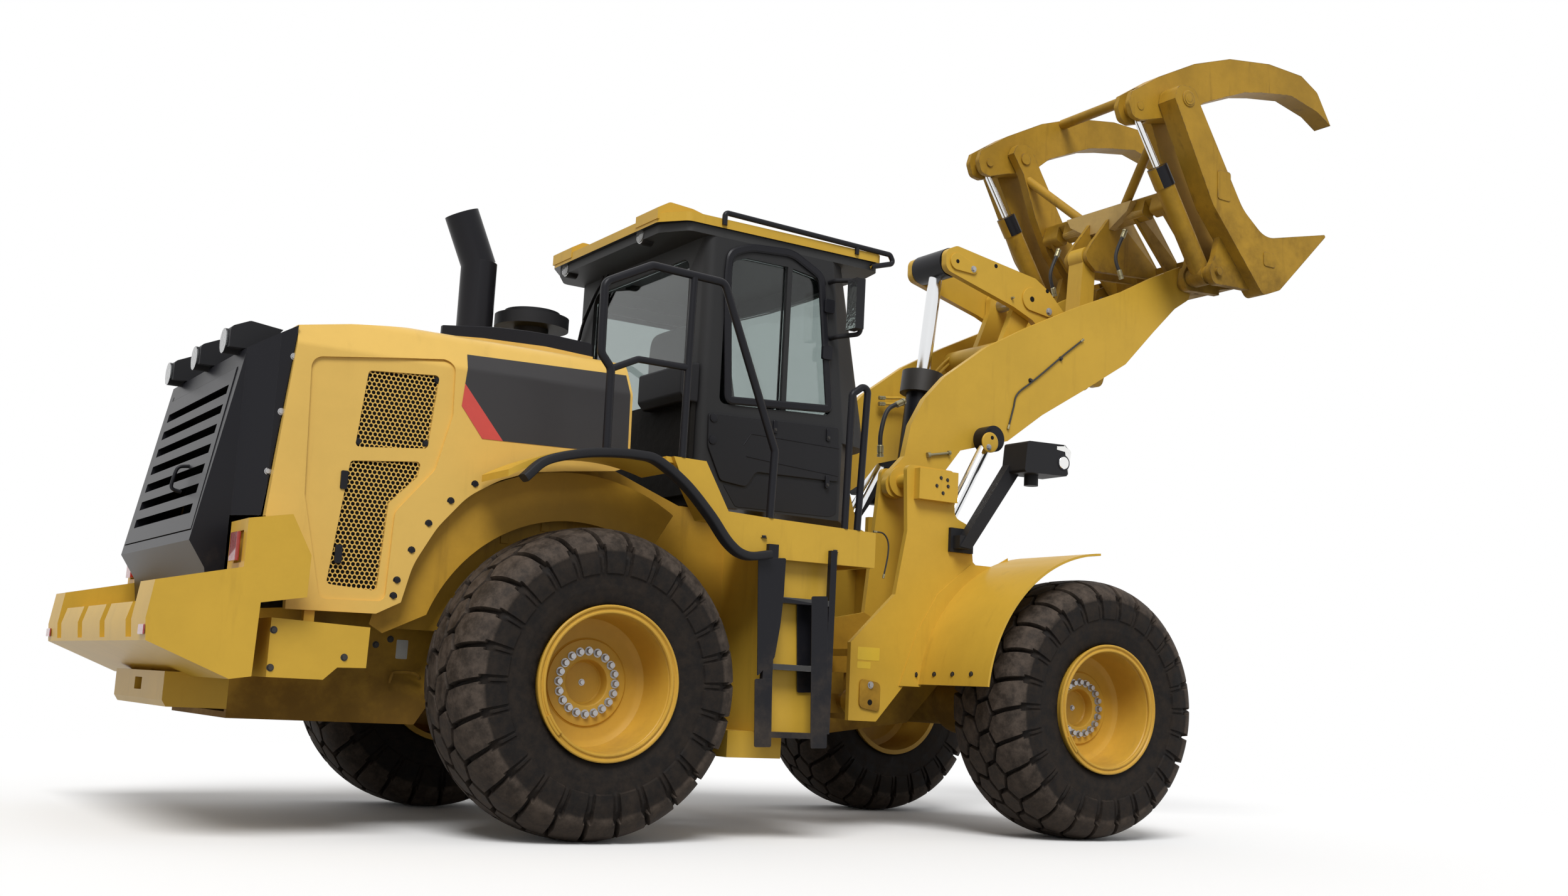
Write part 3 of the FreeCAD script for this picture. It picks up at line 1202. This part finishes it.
# ---- the machine --------------------------------------------------------------------------
def all_nodes():
    nodes = {}
    for name, x in (("rear", REAR_X), ("front", FRONT_X)):
        left_tyre = tyre(x)
        left_rim = rim(x)
        nodes["tyre_" + name + "_left"] = left_tyre
        nodes["tyre_" + name + "_right"] = mirrored(left_tyre)
        nodes["rim_" + name + "_left"] = left_rim
        nodes["rim_" + name + "_right"] = mirrored(left_rim)
        nodes["axle_" + name] = axle(x)
    nodes["rear_frame"] = cut(rear_frame(), nodes["axle_rear"])
    nodes["pivot_pins"] = Part.makeCompound([hitch_pins(), steer_pins()])
    nodes["counterweight"] = counterweight()
    nodes["rear_frame"] = cut(nodes["rear_frame"], nodes["counterweight"])
    nodes["engine_hood"] = engine_hood()
    nodes["top_cover"] = top_cover()
    nodes["rear_surround"] = rear_surround()
    nodes["counterweight"] = cut(nodes["counterweight"], nodes["rear_surround"])
    nodes["grille_door"] = grille_door()
    nodes["rear_lamps"] = rear_lamps()
    nodes["vent_plates"] = Part.makeCompound(pair(vent_plates()))
    nodes["engine_block"] = engine_block()
    nodes["exhaust_stack"] = exhaust_stack()
    nodes["precleaner"] = precleaner()
    nodes["cab_shell"] = cab_shell()
    nodes["cab_glass"] = cab_glass()
    nodes["cab_roof"] = cab_roof()
    nodes["roof_liner"] = roof_liner()
    nodes["cab_door"] = cab_door()
    nodes["door_glass"] = door_glass()
    nodes["seat_base"], nodes["seat_cushions"] = operator_seat()
    nodes["steering_console"] = console()
    nodes["platforms"] = Part.makeCompound(pair(platform()))
    nodes["rear_fenders"] = Part.makeCompound(pair(rear_fender()))
    nodes["fender_trims"] = Part.makeCompound(pair(fender_trim()))
    nodes["ladders"] = Part.makeCompound(pair(ladder()))
    nodes["side_tanks"] = Part.makeCompound(pair(side_tank()))
    nodes["battery_boxes"] = Part.makeCompound(pair(battery_box()))
    rails = cut(handrails(), platform(), rear_fender(), fender_trim())
    nodes["handrails"] = Part.makeCompound(pair(rails))
    nodes["mirrors"] = Part.makeCompound(pair(mirrors()))
    nodes["front_frame"] = front_frame()
    nodes["front_fenders"] = Part.makeCompound(pair(front_fender()))
    nodes["headlamp_posts"] = Part.makeCompound(pair(headlamp_posts()))
    nodes["lift_arms"] = lift_arms()
    nodes["fork_pins"] = fork_pins()
    nodes["lever_pin"] = lever_pin()
    nodes["tilt_lever"] = tilt_lever()
    nodes["tilt_link"] = tilt_link()
    nodes["lift_barrels"] = lift_barrels()
    nodes["lift_rods"] = lift_rods()
    nodes["tilt_cylinder_pin"] = tilt_cylinder_pin()
    nodes["tilt_barrel"] = tilt_barrel()
    nodes["tilt_rod"] = tilt_rod()
    nodes["fork_frame"] = fork_frame()
    nodes["top_clamp"] = top_clamp()
    nodes["clamp_barrels"] = clamp_barrels()
    nodes["clamp_rods"] = clamp_rods()
    for side, sign in (("left", 1), ("right", -1)):
        nodes["steer_barrel_" + side] = steer_barrel(sign)
        nodes["steer_rod_" + side] = steer_rod(sign)
    return nodes


def write_nodes(nodes):
    box = FreeCAD.BoundBox()
    for shape in nodes.values():
        box.add(shape.BoundBox)
    middle = (box.XMin + box.XMax) / 2
    os.makedirs("parts", exist_ok=True)
    for name, shape in nodes.items():
        placed = shape.copy()
        placed.translate(V(-middle, 0, 0))
        placed.exportStep("parts/" + name + ".step")
    return middle


NODES = all_nodes()
PIVOT_X = -write_nodes(NODES)
print("nodes", len(NODES), "steering pivot at x =", round(PIVOT_X, 3))
